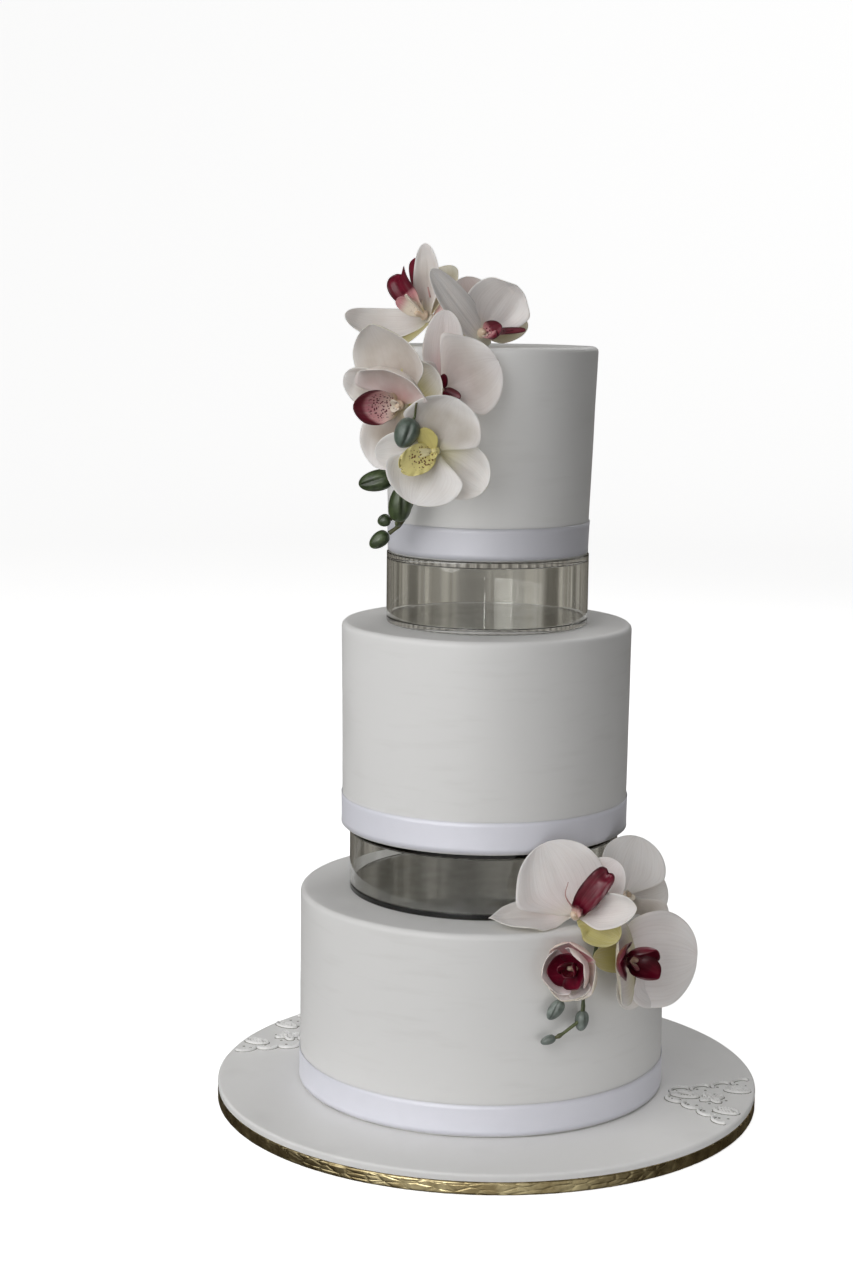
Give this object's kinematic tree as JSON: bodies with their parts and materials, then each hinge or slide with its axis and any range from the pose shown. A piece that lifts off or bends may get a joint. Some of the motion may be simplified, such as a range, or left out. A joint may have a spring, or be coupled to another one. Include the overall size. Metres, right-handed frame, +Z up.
{
  "type": "tiered wedding cake",
  "caption": "Tall round tiered wedding cake on an iced board, its tiers parted by clear round separators, with satin ribbons and trailing sprays of orchids.",
  "frame": {"origin": "centre of the board's underside, where it stands", "axes": "+Z up; -Y is the front, the side that shows both sprays; +X is the viewer's right"},
  "size_m": [0.456, 0.456, 0.7093],
  "materials": {
    "foil": "embossed gold foil wrap over a board, crinkled and shiny",
    "fondant": "rolled white icing, smooth satin matt",
    "satin": "pale lilac-white satin ribbon with a soft sheen",
    "acrylic": "clear polished acrylic",
    "petal": "soft matt white with a pink blush and fine ribs",
    "sepal": "soft matt cream with a yellow-green throat",
    "crimson_lip": "waxy crimson with a pale throat",
    "yellow_lip": "waxy yellow with brown speckles",
    "bud": "dark green bud with a soft gloss",
    "pale_bud": "grey-green bud with a soft gloss",
    "stem": "olive green, matt"
  },
  "bodies": {
    "root": {"board_drum": "foil", "board_icing": "fondant", "tier_bottom": "fondant", "tier_middle": "fondant", "tier_top": "fondant", "ribbon_bottom": "satin", "ribbon_middle": "satin", "ribbon_top": "satin", "separator_lower_base": "acrylic", "separator_lower_ring": "acrylic", "separator_lower_plate": "acrylic", "separator_upper_base": "acrylic", "separator_upper_ring": "acrylic", "separator_upper_plate": "acrylic", "bud_top_1": "bud", "bud_top_2": "bud", "bud_top_3": "bud", "bud_top_4": "bud", "bud_top_5": "bud", "bud_lower_1": "pale_bud", "bud_lower_2": "pale_bud", "bud_lower_3": "pale_bud", "stem_top": "stem", "stem_lower": "stem", "orchid_front_lip": "yellow_lip", "orchid_front_petals": "petal", "orchid_front_sepals": "sepal", "orchid_left_lip": "crimson_lip", "orchid_left_petals": "petal", "orchid_left_sepals": "sepal", "orchid_middle_lip": "crimson_lip", "orchid_middle_petals": "petal", "orchid_middle_sepals": "sepal", "orchid_top_left_lip": "crimson_lip", "orchid_top_left_petals": "petal", "orchid_top_left_sepals": "sepal", "orchid_top_right_lip": "crimson_lip", "orchid_top_right_petals": "petal", "orchid_top_right_sepals": "sepal", "orchid_cup_lip": "crimson_lip", "orchid_cup_petals": "petal", "orchid_cup_sepals": "sepal", "orchid_step_lip": "crimson_lip", "orchid_step_petals": "petal", "orchid_step_sepals": "sepal", "orchid_side_lip": "crimson_lip", "orchid_side_petals": "petal", "orchid_side_sepals": "sepal", "orchid_back_lip": "crimson_lip", "orchid_back_petals": "petal", "orchid_back_sepals": "sepal"}
  },
  "joints": []
}
